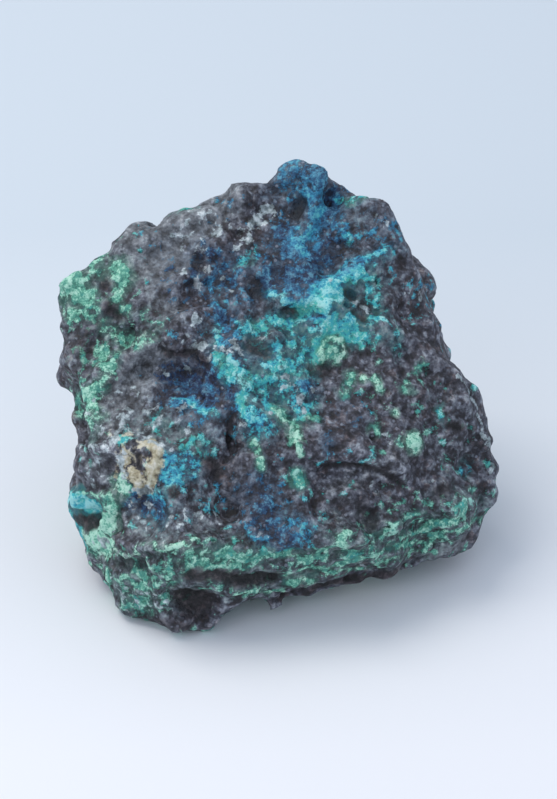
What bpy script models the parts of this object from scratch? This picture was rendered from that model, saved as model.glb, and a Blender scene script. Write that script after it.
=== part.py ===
"""A rough chrysocolla specimen: one hand-sized chip of dark copper ore, lying on its broken base.

Run with: blender --background --python part.py

Units are metres, +Z is up, and the origin is the middle of the base, on the surface the stone lies on.
The big show face slopes back from the front (-Y) and looks up; a steep band of malachite runs along
its foot. The stone is hewn from a hull of corner points, broken into chips at three scales, and then
given its own lumps, ledges, pits and fissure. It is one solid, because it formed as one piece.
"""

import math

import bmesh
import bpy
from mathutils import Vector, noise
from mathutils.bvhtree import BVHTree

MM = 0.001

# Driving dimensions, in millimetres.
SHOW_TILT_DEG = 35.0  # how far above the horizon the show face looks
SHOW_CENTRE = (0.0, 0.0, 17.0)  # where the show face's own across and up are both zero
BAND_TOP = 10.0  # height of the malachite band along the foot of the show face
BAND_RECESS = 0.9  # how far the band lies back under the crust above it
BAND_STEP = 0.8  # height over which the band steps back
BAND_BACK = -4.0  # how far back (y) the band reaches
BAND_FADE = 5.0  # depth over which it fades out there
GRAIN = 0.5  # spacing of the surface points while the stone is sculpted
FACETS = 9400  # triangles in the finished stone
REST_DEPTH = 0.6  # what is worn off the shortest of the three feet

# Corners of the unbroken block, left to right (x), front to back (y) and up (z), in millimetres.
BASE_CORNERS = [
    (-10.0, -17.6, 0.3), (-16.4, -14.0, 0.5), (-19.2, -8.8, 2.4), (-21.0, -3.8, 4.6), (-18.4, 7.0, 1.0),
    (-12.6, 14.6, 0.6), (0.0, 17.4, 0.8), (11.0, 15.4, 0.6), (17.4, 8.0, 0.8), (19.6, -4.2, 3.2),
    (15.6, -8.9, 2.2), (4.0, -13.6, 0.6),
]
RIM_CORNERS = [
    (-20.9, -6.8, 9.0), (-15.2, -15.6, 9.0), (-8.6, -17.2, 10.6), (3.6, -15.4, 10.4),
    (11.6, -13.2, 10.4), (19.0, -8.4, 9.6), (23.2, -2.4, 9.6),
]
SIDE_CORNERS = [
    (-18.9, -2.4, 14.6), (-21.8, 3.4, 21.6), (-23.4, 5.2, 26.4), (-18.8, 14.0, 19.0), (-19.2, 9.0, 9.0),
    (19.5, 1.6, 14.6), (16.0, 4.6, 19.6), (13.2, 8.6, 26.0), (15.6, 15.0, 16.0), (19.6, 9.0, 9.0),
]
TOP_CORNERS = [
    (-18.8, 8.4, 29.2), (-12.6, 10.6, 31.8), (-4.0, 12.6, 35.9), (1.2, 13.2, 36.6), (4.6, 13.0, 36.4),
    (10.6, 10.4, 32.6), (12.0, 9.8, 30.0), (-6.0, 17.4, 30.0), (5.0, 18.4, 31.4), (11.6, 17.0, 25.4),
    (-11.6, 18.0, 24.0), (0.0, 20.4, 18.0),
]

# Chips: how the rock breaks, coarse to fine, as (size of a chip in millimetres, strength of its relief).
CHIPS = [(9.0, 4.2), (4.4, 2.4), (2.4, 1.2)]

# Relief of the show face: (name, path in mm across and up the face, reach, height; minus is a hollow).
FACE_RELIEF = [
    ("fissure", [(-4.2, 0.4), (-5.2, -2.4), (-5.4, -5.0)], 1.9, -0.9),
    ("fissure hole", [(-5.1, -2.2), (-5.3, -4.2)], 1.0, -1.0),
    ("fissure tail", [(-5.0, -5.0), (-6.2, -8.0), (-5.2, -11.0)], 1.8, -0.8),
    ("navy hollow", [(-14.0, 3.2), (-10.0, 2.6), (-6.5, 2.0)], 2.6, -1.1),
    ("fold above the hollow", [(-17.5, 2.0), (-13.0, 5.9), (-9.0, 8.2)], 2.4, 0.8),
    ("ochre lobe", [(-15.0, -5.6), (-11.5, -7.6)], 5.0, 1.3),
    ("ochre pit", [(-14.4, -6.0)], 1.1, -1.0),
    ("corner pocket", [(-19.6, -11.6), (-18.6, -12.2)], 1.8, -2.1),
    ("pocket lip", [(-21.0, -10.0), (-17.2, -10.0)], 1.0, 0.6),
    ("crust edge", [(-17.4, -12.6), (-16.2, -15.0), (-13.4, -15.0), (-9.2, -14.2), (-6.4, -14.0)], 1.2, 0.9),
    ("foot pit", [(-10.0, -20.2), (-7.4, -20.9)], 2.4, -1.7),
    ("upper band ledge", [(-12.5, -16.8), (-6.0, -17.2), (2.0, -17.0), (9.0, -15.4)], 1.4, 0.8),
    ("lower band ledge", [(-13.5, -19.6), (-10.8, -18.4), (-5.5, -19.2), (2.6, -18.8)], 1.3, 0.7),
    ("long chip", [(2.6, -5.2), (7.3, -5.6), (10.6, -6.4), (13.4, -8.4)], 2.0, 0.7),
    ("shadow under the chip", [(4.2, -7.6), (7.4, -7.9), (10.4, -8.9), (12.2, -10.2)], 1.5, -0.9),
    ("dark dish", [(6.6, -11.4), (9.4, -12.0)], 2.2, -0.6),
    ("saddle", [(6.2, 22.6), (5.6, 20.2), (3.6, 17.4)], 2.0, -1.2),
    ("notch beside the peak", [(6.4, 21.8), (5.8, 20.8)], 1.3, -0.9),
    ("blue peak", [(1.6, 23.0), (3.8, 22.8)], 2.6, 0.6),
    ("top left edge", [(-15.0, 16.0), (-12.0, 17.2), (-8.0, 19.2), (-3.6, 21.0)], 3.0, 1.4),
    ("right knob", [(9.2, 18.6), (11.0, 17.0)], 3.6, 0.9),
    ("grey shoulder", [(-13.0, 13.6), (-6.0, 16.0)], 5.0, 0.7),
    ("shaded nook", [(8.0, 10.4), (9.4, 9.2)], 1.7, -0.9),
    ("turquoise shelf", [(1.0, 10.4), (5.6, 12.0), (10.6, 14.2)], 1.8, 0.8),
    ("pit under the shelf", [(1.2, 8.8), (2.6, 9.0)], 1.2, -0.7),
    ("brown pit", [(-3.4, 5.0), (-2.2, 5.2)], 1.5, -0.9),
    ("small pit", [(-1.9, 0.8)], 1.2, -0.9),
    ("ring nodule", [(5.4, 5.2)], 1.5, 0.7),
    ("lower lobe", [(2.0, -3.0), (12.0, -2.0)], 6.0, 0.9),
    ("right shoulder", [(18.8, 6.4), (20.2, 3.4)], 3.2, -1.3),
    ("above the right corner", [(21.4, -4.4)], 1.8, 0.7),
    ("below the right corner", [(21.8, -9.6), (21.0, -11.0)], 1.9, 0.7),
    ("left nick", [(-22.0, 0.2), (-21.0, -3.6)], 3.4, -2.3),
    ("left cheek", [(-21.4, 10.4), (-20.6, 7.0)], 3.0, 0.6),
    ("left corner", [(-22.0, 10.2), (-22.0, 7.6)], 1.9, 0.8),
    ("above the left corner", [(-21.8, 13.2), (-20.6, 13.8)], 2.0, -0.9),
    ("below the left corner", [(-22.4, 5.4)], 1.7, -0.7),
    ("lower left edge", [(-18.6, -18.2), (-17.2, -20.4)], 2.2, -0.8),
    ("lump at the base", [(1.8, -20.0), (2.6, -20.0)], 1.5, 0.4),
]

# Relief of the hidden sides: (name, path in mm in the stone's own axes, reach, height).
SIDE_RELIEF = [
    ("back hollow", [(-6.0, 18.8, 12.0), (3.0, 19.4, 11.0)], 6.5, -2.2),
    ("back ledge", [(-15.0, 15.5, 9.0), (-4.0, 18.0, 7.4), (9.0, 17.0, 8.6)], 2.4, 1.3),
    ("back step", [(2.0, 19.4, 23.0), (10.0, 17.4, 24.0), (16.0, 12.0, 22.0)], 2.6, 1.1),
    ("right scoop", [(20.0, 3.0, 12.0), (19.4, 8.0, 13.0)], 4.0, -1.6),
    ("right pit", [(18.6, 6.0, 5.0)], 2.2, -1.5),
    ("left flank", [(-22.6, -0.4, 16.6), (-22.6, -1.6, 14.2), (-22.0, -3.0, 11.6)], 5.0, -2.3),
    ("left knob", [(-22.1, 3.6, 16.9)], 1.7, 1.2),
    ("under the left knob", [(-21.7, 2.4, 13.6), (-21.6, 0.4, 12.8)], 3.2, -0.9),
    ("right shoulder", [(18.2, 7.4, 21.2), (19.9, 6.8, 18.2), (20.9, 5.8, 17.0)], 4.4, -2.0),
    ("right side of the foot", [(-4.8, -16.0, 0.4), (-1.4, -14.4, 1.2)], 3.0, -1.9),
    ("notch at the base", [(6.8, -12.0, 1.6), (9.0, -11.6, 1.6)], 2.2, -1.0),
    ("left scoop", [(-20.4, 6.0, 15.0), (-19.6, 9.6, 17.0)], 4.0, -1.5),
    ("top dent", [(-6.0, 14.8, 30.0)], 3.0, -1.2),
    ("underside hollow", [(-3.0, -2.0, 0.8), (5.0, 3.0, 0.8)], 6.0, -1.6),
]

# The three feet that the stone lies on: (x, y), reach and how far down each is drawn, in millimetres.
FEET = [((-9.6, -12.8), 4.2, 1.6), ((14.0, 1.5), 4.4, 2.0), ((-6.0, 12.0), 4.4, 2.0)]


def clear_scene():
    for obj in list(bpy.data.objects):
        bpy.data.objects.remove(obj)


def show_axes():
    """Across, up and out of the show face, as unit vectors."""
    tilt = math.radians(SHOW_TILT_DEG)
    across = Vector((1, 0, 0))
    up = Vector((0, math.sin(tilt), math.cos(tilt)))
    out = Vector((0, -math.cos(tilt), math.sin(tilt)))
    return across, up, out


def on_show_face(tree, across_mm, up_mm):
    """The point of the stone's surface that lies that far across and up its show face."""
    across, up, out = show_axes()
    aim = Vector(SHOW_CENTRE) * MM + (across * across_mm + up * up_mm) * MM
    reach = 60 * MM
    hit = tree.ray_cast(aim + out * reach, -out)[0]
    if hit is None:
        hit = tree.find_nearest(aim)[0]
    return hit


def hull_of_corners(name, corners):
    """The unbroken block: the convex hull of its corners, as a new object."""
    bm = bmesh.new()
    for corner in corners:
        bm.verts.new(Vector(corner) * MM)
    hull = bmesh.ops.convex_hull(bm, input=bm.verts)
    loose = {v for v in hull["geom_interior"] + hull["geom_unused"] if isinstance(v, bmesh.types.BMVert)}
    bmesh.ops.delete(bm, geom=list(loose), context="VERTS")
    bmesh.ops.recalc_face_normals(bm, faces=bm.faces)
    mesh = bpy.data.meshes.new(name)
    bm.to_mesh(mesh)
    bm.free()
    block = bpy.data.objects.new(name, mesh)
    bpy.context.scene.collection.objects.link(block)
    return block


def apply_modifiers(obj):
    """Turns the object's modifiers into its mesh."""
    bpy.context.view_layer.update()
    graph = bpy.context.evaluated_depsgraph_get()
    mesh = bpy.data.meshes.new_from_object(obj.evaluated_get(graph))
    obj.modifiers.clear()
    obj.data = mesh


def even_skin(obj, spacing_mm):
    """Covers the block with an even net of points that far apart."""
    skin = obj.modifiers.new("Even skin", "REMESH")
    skin.mode = "VOXEL"
    skin.voxel_size = spacing_mm * MM
    apply_modifiers(obj)


def wander(place):
    """A smooth, repeatable shove in any direction, which changes from place to place."""
    x, y, z = place
    return Vector((noise.noise((x, y, z)), noise.noise((y + 31.4, z, x)), noise.noise((z, x - 27.2, y))))


def chip(point_mm, size, seed):
    """How far the flat, tilted chips round a point stand out there, as a share of their size."""
    place = point_mm / size + Vector((seed, -seed, seed)) * 7.3
    place += wander(place) * 0.35
    proud, sunk = -math.inf, math.inf
    for middle in noise.voronoi(place)[1]:
        away = place - middle
        plane = 0.8 * wander(middle * 5.17).dot(away) + 0.4 * noise.noise(middle * 3.71)
        proud = max(proud, plane - away.length_squared)
        sunk = min(sunk, plane + away.length_squared)
    return (proud + sunk) / 2


def distance_to_path(point, path):
    """The distance from a point to the nearest place on a path of points."""
    if len(path) == 1:
        return (point - path[0]).length
    nearest = math.inf
    for start, end in zip(path, path[1:]):
        span = end - start
        share = max(0.0, min(1.0, (point - start).dot(span) / span.length_squared))
        nearest = min(nearest, (point - start - span * share).length)
    return nearest


def swell(distance, reach):
    """A smooth hump: 1 on the path, 0 at its reach and beyond."""
    if distance >= reach:
        return 0.0
    return (1 - (distance / reach) ** 2) ** 2


def break_into_chips(bm):
    """Moves each point in or out by the chips that it belongs to, coarse chips first."""
    for seed, (size, amount) in enumerate(CHIPS, start=1):
        bm.normal_update()
        moves = [v.normal * chip(v.co / MM, size, seed) * amount * MM for v in bm.verts]
        for vert, move in zip(bm.verts, moves):
            vert.co += move


def press_relief(bm):
    """Raises the lumps and ledges, and sinks the pits, hollows and fissure."""
    bm.normal_update()
    tree = BVHTree.FromBMesh(bm)
    relief = []
    for _, path, reach, height in FACE_RELIEF:
        points = [on_show_face(tree, across, up) for across, up in path]
        relief.append((points, reach * MM, height * MM))
    for _, path, reach, height in SIDE_RELIEF:
        points = [tree.find_nearest(Vector(place) * MM)[0] for place in path]
        relief.append((points, reach * MM, height * MM))
    moves = []
    for vert in bm.verts:
        height = sum(h * swell(distance_to_path(vert.co, points), reach) for points, reach, h in relief)
        moves.append(vert.normal * height)
    for vert, move in zip(bm.verts, moves):
        vert.co += move


def waver(x):
    """How far the top edge of the band rises or dips along its length, in millimetres."""
    slow = noise.noise(Vector((x * 0.22, 3.0, 0.0)))
    quick = noise.noise(Vector((x * 0.7, 9.0, 0.0)))
    return 1.1 * slow + 0.5 * quick


def part_way(value, start, end):
    """How far the value is from start to end, held between 0 and 1."""
    return max(0.0, min(1.0, (value - start) / (end - start)))


def set_band_back(bm):
    """Steps the malachite band at the foot of the show face back under the crust above it."""
    for vert in bm.verts:
        x, y, z = vert.co / MM
        top = BAND_TOP + waver(x)
        below = part_way(z, top, top - BAND_STEP)
        above_base = part_way(z, 0.0, 3.0)
        front = part_way(y, BAND_BACK, BAND_BACK - BAND_FADE)
        vert.co.y += BAND_RECESS * MM * below * above_base * front


def draw_down_feet(bm):
    """Draws the underside down to the surface at the three feet."""
    for (x, y), reach, drop in FEET:
        foot = Vector((x, y)) * MM
        for vert in bm.verts:
            if vert.co.z < 6 * MM and vert.normal.z < 0:
                vert.co.z -= drop * MM * swell((vert.co.xy - foot).length, reach * MM)


def wear_feet_flat(mesh):
    """Cuts all three feet off at one level, lays that level on the surface, and centres the stone."""
    bm = bmesh.new()
    bm.from_mesh(mesh)
    tips = []
    for place, reach, _ in FEET:
        foot = Vector(place) * MM
        tips.append(min(v.co.z for v in bm.verts if (v.co.xy - foot).length < reach * MM))
    ground = max(tips) + REST_DEPTH * MM
    whole = bm.verts[:] + bm.edges[:] + bm.faces[:]
    level, down = (0, 0, ground), (0, 0, -1)
    cut = bmesh.ops.bisect_plane(bm, geom=whole, plane_co=level, plane_no=down, clear_outer=True)
    rims = [part for part in cut["geom_cut"] if isinstance(part, bmesh.types.BMEdge)]
    bmesh.ops.edgeloop_fill(bm, edges=rims)
    bmesh.ops.triangulate(bm, faces=bm.faces)
    bmesh.ops.recalc_face_normals(bm, faces=bm.faces)
    xs = [v.co.x for v in bm.verts]
    ys = [v.co.y for v in bm.verts]
    middle = Vector((max(xs) + min(xs), max(ys) + min(ys), 2 * ground)) / 2
    bmesh.ops.translate(bm, verts=bm.verts, vec=-middle)
    bm.to_mesh(mesh)
    bm.free()


def drop_crumbs(mesh):
    """Keeps the stone itself and leaves out any crumb that the sculpting pinched off or shut inside it."""
    bm = bmesh.new()
    bm.from_mesh(mesh)
    left = set(bm.verts)
    shells = []
    while left:
        shell, edge_of_shell = set(), [left.pop()]
        while edge_of_shell:
            vert = edge_of_shell.pop()
            shell.add(vert)
            for edge in vert.link_edges:
                other = edge.other_vert(vert)
                if other in left:
                    left.remove(other)
                    edge_of_shell.append(other)
        shells.append(shell)
    shells.sort(key=len)
    for crumb in shells[:-1]:
        bmesh.ops.delete(bm, geom=list(crumb), context="VERTS")
    bm.to_mesh(mesh)
    bm.free()


def facet(obj, triangles):
    """Reduces the sculpted skin to that many triangles, keeping the ones that carry the shape."""
    mesh = obj.data
    mesh.calc_loop_triangles()
    cut = obj.modifiers.new("Facets", "DECIMATE")
    cut.ratio = triangles / len(mesh.loop_triangles)
    cut.use_collapse_triangulate = True
    apply_modifiers(obj)


def rock_material():
    """Dark, blue-grey ore with a dull surface."""
    material = bpy.data.materials.new("Copper ore")
    material.use_nodes = True
    shader = material.node_tree.nodes["Principled BSDF"]
    shader.inputs["Base Color"].default_value = (0.085, 0.115, 0.135, 1)
    shader.inputs["Roughness"].default_value = 0.62
    shader.inputs["Metallic"].default_value = 0.0
    return material


def build_specimen():
    corners = BASE_CORNERS + RIM_CORNERS + SIDE_CORNERS + TOP_CORNERS
    stone = hull_of_corners("chrysocolla_stone", corners)
    even_skin(stone, GRAIN)
    bm = bmesh.new()
    bm.from_mesh(stone.data)
    break_into_chips(bm)
    press_relief(bm)
    set_band_back(bm)
    bm.normal_update()
    draw_down_feet(bm)
    bm.to_mesh(stone.data)
    bm.free()
    even_skin(stone, GRAIN * 0.8)
    drop_crumbs(stone.data)
    facet(stone, FACETS)
    wear_feet_flat(stone.data)
    stone.data.materials.append(rock_material())
    stone.data.shade_flat()
    return stone


def main():
    clear_scene()
    specimen = bpy.data.collections.new("Chrysocolla specimen")
    bpy.context.scene.collection.children.link(specimen)
    stone = build_specimen()
    bpy.context.scene.collection.objects.unlink(stone)
    specimen.objects.link(stone)


main()
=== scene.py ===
"""The looks of a rough chrysocolla specimen: its fine broken surface, its minerals, a pale floor and light.

The skin of the stone is remeshed finely, chipped and pitted, and then crusted with minerals. Each mineral
is laid on the show face with strokes: short paths in millimetres across and up, as the camera sees them.
The hidden sides get the same minerals from slow noise. Attributes on the points carry the strokes to one
procedural material, which breaks them up into grains, crusts and specks.
"""

import itertools
import math
from functools import partialmethod

import bmesh
import bpy
import numpy as np
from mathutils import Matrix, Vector
from mathutils.bvhtree import BVHTree


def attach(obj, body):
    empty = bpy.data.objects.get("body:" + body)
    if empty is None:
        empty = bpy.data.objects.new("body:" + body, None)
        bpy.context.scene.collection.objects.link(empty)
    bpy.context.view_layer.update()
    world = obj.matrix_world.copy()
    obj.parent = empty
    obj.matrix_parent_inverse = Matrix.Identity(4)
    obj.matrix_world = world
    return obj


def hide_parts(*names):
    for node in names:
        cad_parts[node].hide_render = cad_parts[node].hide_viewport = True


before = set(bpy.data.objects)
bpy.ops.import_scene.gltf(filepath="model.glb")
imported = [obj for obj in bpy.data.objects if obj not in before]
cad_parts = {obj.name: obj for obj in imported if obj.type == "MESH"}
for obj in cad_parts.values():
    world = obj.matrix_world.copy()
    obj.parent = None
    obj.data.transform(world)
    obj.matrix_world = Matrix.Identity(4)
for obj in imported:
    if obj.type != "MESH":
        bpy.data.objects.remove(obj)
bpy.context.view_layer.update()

MM = 0.001
SOLID = "chrysocolla_stone"

# The camera: how it looks at the show face, in degrees and millimetres.
VIEW_HEIGHT_DEG = 35.0
VIEW_DISTANCE = 320.0
VIEW_AIM = (0.25, -1.4, 17.5)  # the point of the stone that has across and up both zero
VIEW_TALL = 81.7  # how much the frame takes in from top to bottom, at the aim
FILM = 36.0  # long side of the film

# The floor's colour darkens from its front to this far back, in millimetres: a painted fall-off of the
# light.
FLOOR_FRONT, FLOOR_BACK = -36.0, 60.0
FLOOR_RADIUS = 4.0  # in metres
LIGHT_AIM = (0, 0, 15)  # the middle of the stone, in millimetres

# The fine skin, in millimetres.
SKIN_SPACING = 0.29
WELD = 0.001  # corners of the solid closer than this are one
SOFTENING = 3  # rounds of smoothing that take the flat facets off the solid
FLAT_HEIGHT = 0.12  # what starts lower than this is a worn flat, and stays on the floor
STROKE_STEP = 0.5  # strokes are followed in steps no longer than this
BEAD_STEP = 0.3  # and rows of beads in these
TURN_ROUNDS = 30  # rounds of smoothing before a place counts as facing away

# Chips of the broken surface, coarse to fine: (size, how far they stand proud or back).
BREAKS = [(3.4, 0.45), (1.7, 0.25), (0.95, 0.2)]
CHIP_LIFT = 1.6  # brings the noise of the chips up to those heights
RIPPLE_SIZE, RIPPLE_HEIGHT = 1.1, 0.09  # fine unevenness over the chips
PIT_SPACING = 2.1  # between the places where small round pits may be
PIT_RADIUS = 0.24  # as a share of that spacing
PIT_DEPTH = 0.42
GRAIN = 0.6  # size of the crystal grains of the crusts


# ---- repeatable noise on many points at once; each salt, a whole number, gives a pattern of its own

def scatter(cells, salt):
    """A repeatable random number from 0 to 1 for every whole-number cell."""
    whole = cells.astype(np.int64).astype(np.uint32)
    mixed = whole[..., 0] * np.uint32(374761393) + whole[..., 1] * np.uint32(668265263)
    mixed = mixed + whole[..., 2] * np.uint32(2246822519) + np.uint32(salt * 3266489917 % 2**32)
    mixed = (mixed ^ (mixed >> np.uint32(15))) * np.uint32(2246822519)
    mixed = (mixed ^ (mixed >> np.uint32(13))) * np.uint32(3266489917)
    return (mixed ^ (mixed >> np.uint32(16))) / 2.0**32


def scatter3(cells, salt):
    """Three repeatable random numbers from -0.5 to 0.5 for every cell."""
    return np.stack([scatter(cells, salt * 7 + axis) for axis in range(3)], -1) - 0.5


def smooth_noise(points, size, salt, octaves=1):
    """Noise from about -1 to 1 whose lumps are about that size."""
    total = np.zeros(len(points))
    for octave in range(octaves):
        place = points / size * 2**octave + salt * 17.3
        base = np.floor(place)
        part = place - base
        ease = part * part * (3 - 2 * part)
        for corner in itertools.product((0, 1), repeat=3):
            share = np.prod(np.where(corner, ease, 1 - ease), axis=1)
            slope = scatter3(base + corner, salt + octave)
            total += share * np.sum(slope * (part - corner), axis=1) * 3.2 * 0.5**octave
    return total


def drift(points, size, salt):
    """A smooth shove in any direction, which changes from place to place."""
    return np.stack([smooth_noise(points, size, salt + axis) for axis in range(3)], -1)


NEIGHBOURS = list(itertools.product((-1, 0, 1), repeat=3))


def chips(points, size, salt):
    """How far flat, tilted chips stand proud or back at each point, in millimetres."""
    place = points / size + 0.3 * drift(points, size, salt)
    base = np.floor(place)
    proud = np.full(len(points), -np.inf)
    painted_hollow_shade = np.full(len(points), np.inf)
    for step in NEIGHBOURS:
        cell = base + step
        away = place - (cell + 0.5 + 0.9 * scatter3(cell, salt))
        bow = np.sum(away * away, axis=1)
        plane = np.sum(scatter3(cell, salt + 1) * away, axis=1) * 1.6 + 0.5 * (scatter(cell, salt + 2) - 0.5)
        proud = np.maximum(proud, plane - bow)
        painted_hollow_shade = np.minimum(painted_hollow_shade, plane + bow)
    return (proud + painted_hollow_shade) / 2


def grains(points, size, salt):
    """The distance to the nearest grain's middle, in grain sizes, and that grain's random number."""
    place = points / size
    base = np.floor(place)
    nearest = np.full(len(points), np.inf)
    number = np.zeros(len(points))
    for step in NEIGHBOURS:
        cell = base + step
        away = place - (cell + 0.5 + 0.9 * scatter3(cell, salt))
        far = np.sqrt(np.sum(away * away, axis=1))
        closer = far < nearest
        nearest = np.where(closer, far, nearest)
        number = np.where(closer, scatter(cell, salt + 3), number)
    return nearest, number


def ramp(values, low, high):
    """Eases from 0 at low to 1 at high."""
    share = np.clip((values - low) / (high - low), 0, 1)
    return share * share * (3 - 2 * share)


# ---- the stone's skin

class Skin:
    """The fine surface of the stone, with its points and normals in millimetres."""

    def __init__(self, obj):
        self.obj = obj
        mesh = obj.data
        self.count = len(mesh.vertices)
        self.points = np.empty((self.count, 3))
        mesh.vertices.foreach_get("co", self.points.ravel())
        self.points /= MM
        pairs = np.empty(len(mesh.edges) * 2, dtype=np.int32)
        mesh.edges.foreach_get("vertices", pairs)
        self.ends = pairs.reshape(-1, 2)
        self.links = np.bincount(pairs, minlength=self.count)
        self.settle()

    def settle(self):
        """Writes the points back to the mesh and reads the new normals."""
        mesh = self.obj.data
        mesh.vertices.foreach_set("co", (self.points * MM).astype(np.float32).ravel())
        mesh.update()
        self.normals = np.empty((self.count, 3), dtype=np.float32)
        mesh.vertex_normals.foreach_get("vector", self.normals.ravel())

    def spread(self, values):
        """The mean of the values at each point's neighbours."""
        first, second = self.ends[:, 0], self.ends[:, 1]
        columns = values.reshape(self.count, -1)
        sums = [
            np.bincount(first, column[second], self.count) + np.bincount(second, column[first], self.count)
            for column in columns.T
        ]
        return (np.stack(sums, -1) / self.links[:, None]).reshape(values.shape)

    def soften(self, rounds):
        """Moves each point half way to the mean of its neighbours, each round."""
        for _ in range(rounds):
            self.points += 0.5 * (self.spread(self.points) - self.points)
        self.settle()

    def raise_by(self, heights):
        """Moves each point out by its height, or in where that is minus."""
        self.points += self.normals * heights[:, None]
        self.settle()

    def bulge(self, rounds):
        """How far each point stands out from the surface round it: plus on ridges, minus in pits."""
        around = self.points
        for _ in range(rounds):
            around = self.spread(around)
        return np.sum((self.points - around) * self.normals, axis=1)

    def paint(self, name, values):
        """Stores one number for each point, for the material to read."""
        layer = self.obj.data.attributes.new(name, "FLOAT", "POINT")
        layer.data.foreach_set("value", values.astype(np.float32))


def new_piece(name, bm):
    """Puts the shape into the scene as an object of that name."""
    mesh = bpy.data.meshes.new(name)
    bm.to_mesh(mesh)
    bm.free()
    obj = bpy.data.objects.new(name, mesh)
    bpy.context.scene.collection.objects.link(obj)
    return obj


def fine_skin(solid):
    """A copy of the solid's surface as an even net of small squares."""
    bm = bmesh.new()
    bm.from_mesh(solid.data)
    bmesh.ops.remove_doubles(bm, verts=bm.verts, dist=WELD * MM)
    obj = new_piece("rough_ore", bm)
    net = obj.modifiers.new("Even net", "REMESH")
    net.mode = "VOXEL"
    net.voxel_size = SKIN_SPACING * MM
    bpy.context.view_layer.update()
    graph = bpy.context.evaluated_depsgraph_get()
    obj.data = bpy.data.meshes.new_from_object(obj.evaluated_get(graph))
    obj.modifiers.clear()
    return obj


# ---- placing strokes as the camera sees them

def view_axes():
    """Across, up and back towards the camera, as unit vectors."""
    tilt = math.radians(VIEW_HEIGHT_DEG)
    across = Vector((1, 0, 0))
    up = Vector((0, math.sin(tilt), math.cos(tilt)))
    back = Vector((0, -math.cos(tilt), math.sin(tilt)))
    return across, up, back


class Sight:
    """Finds the place on the stone that shows at a given place across and up the camera's frame."""

    def __init__(self, skin):
        graph = bpy.context.evaluated_depsgraph_get()
        self.tree = BVHTree.FromObject(skin.obj, graph)
        self.across, self.up, self.back = view_axes()
        self.aim = Vector(VIEW_AIM) * MM
        self.eye = self.aim + self.back * VIEW_DISTANCE * MM

    def spot(self, across_mm, up_mm):
        """The place of the surface seen there, or the nearest one beyond the outline."""
        target = self.aim + (self.across * across_mm + self.up * up_mm) * MM
        hit = self.tree.ray_cast(self.eye, (target - self.eye).normalized())[0]
        if hit is None:
            hit = self.tree.find_nearest(target)[0]
        return np.array(hit) / MM

    def trace(self, path, spacing):
        """Points of the surface along a path, no further apart than the spacing."""
        spots = [self.spot(*path[0])]
        for (a0, b0), (a1, b1) in zip(path, path[1:]):
            pieces = max(1, math.ceil(math.hypot(a1 - a0, b1 - b0) / spacing))
            for step in range(1, pieces + 1):
                share = step / pieces
                spots.append(self.spot(a0 + (a1 - a0) * share, b0 + (b1 - b0) * share))
        return np.array(spots)


def distance_to(points, spots):
    """The distance from each point to the nearest spot."""
    nearest = np.full(len(points), np.inf)
    for spot in spots:
        nearest = np.minimum(nearest, np.sum((points - spot) ** 2, axis=1))
    return np.sqrt(nearest)


def reaches_off(points, sight, path, reach):
    """How far each point is from a stroke, in reaches of that stroke."""
    return distance_to(points, sight.trace(path, min(reach, STROKE_STEP))) / reach


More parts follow.
